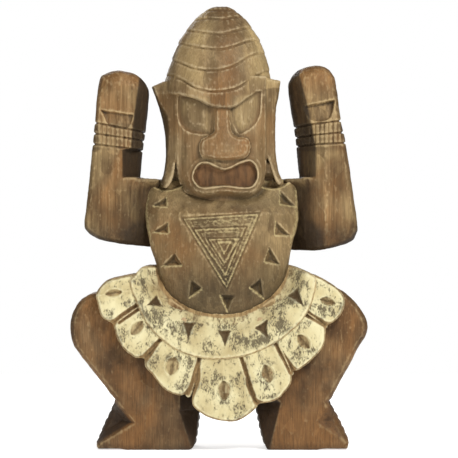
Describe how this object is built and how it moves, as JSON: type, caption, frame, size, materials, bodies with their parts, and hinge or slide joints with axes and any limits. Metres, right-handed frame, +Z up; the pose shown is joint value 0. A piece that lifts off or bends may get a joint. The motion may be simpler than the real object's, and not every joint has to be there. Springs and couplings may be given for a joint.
{
  "type": "tiki figure",
  "caption": "Squatting carved wooden tiki figure with raised arms, a tall tiered cap and a painted skirt of petals, free-standing on two splayed feet.",
  "frame": {"origin": "on the floor under the middle of the figure's bounding box", "axes": "+Z up along the height, front faces -Y, figure's own left on +X"},
  "size_m": [0.668, 0.2486, 0.9996],
  "materials": {
    "brown_wood": "waxed carved hardwood, worn pale on the edges",
    "red_brown_wood": "waxed carved hardwood, redder and darker",
    "distressed_cream": "wood with rubbed cream paint and dark flecks",
    "dowel_wood": "plain turned dowel, glued in"
  },
  "bodies": {
    "root": {"head": "brown_wood", "torso": "brown_wood", "right_arm": "brown_wood", "left_arm": "brown_wood", "right_leg": "red_brown_wood", "left_leg": "red_brown_wood", "right_foot": "red_brown_wood", "left_foot": "red_brown_wood", "hip_block": "red_brown_wood", "skirt_upper_front": "distressed_cream", "skirt_upper_back": "distressed_cream", "skirt_lower_front": "distressed_cream", "skirt_lower_back": "distressed_cream", "neck_dowels": "dowel_wood", "waist_dowels": "dowel_wood", "shoulder_dowels": "dowel_wood", "thigh_dowels": "dowel_wood", "ankle_dowels": "dowel_wood", "skirt_dowels": "dowel_wood"}
  },
  "joints": []
}
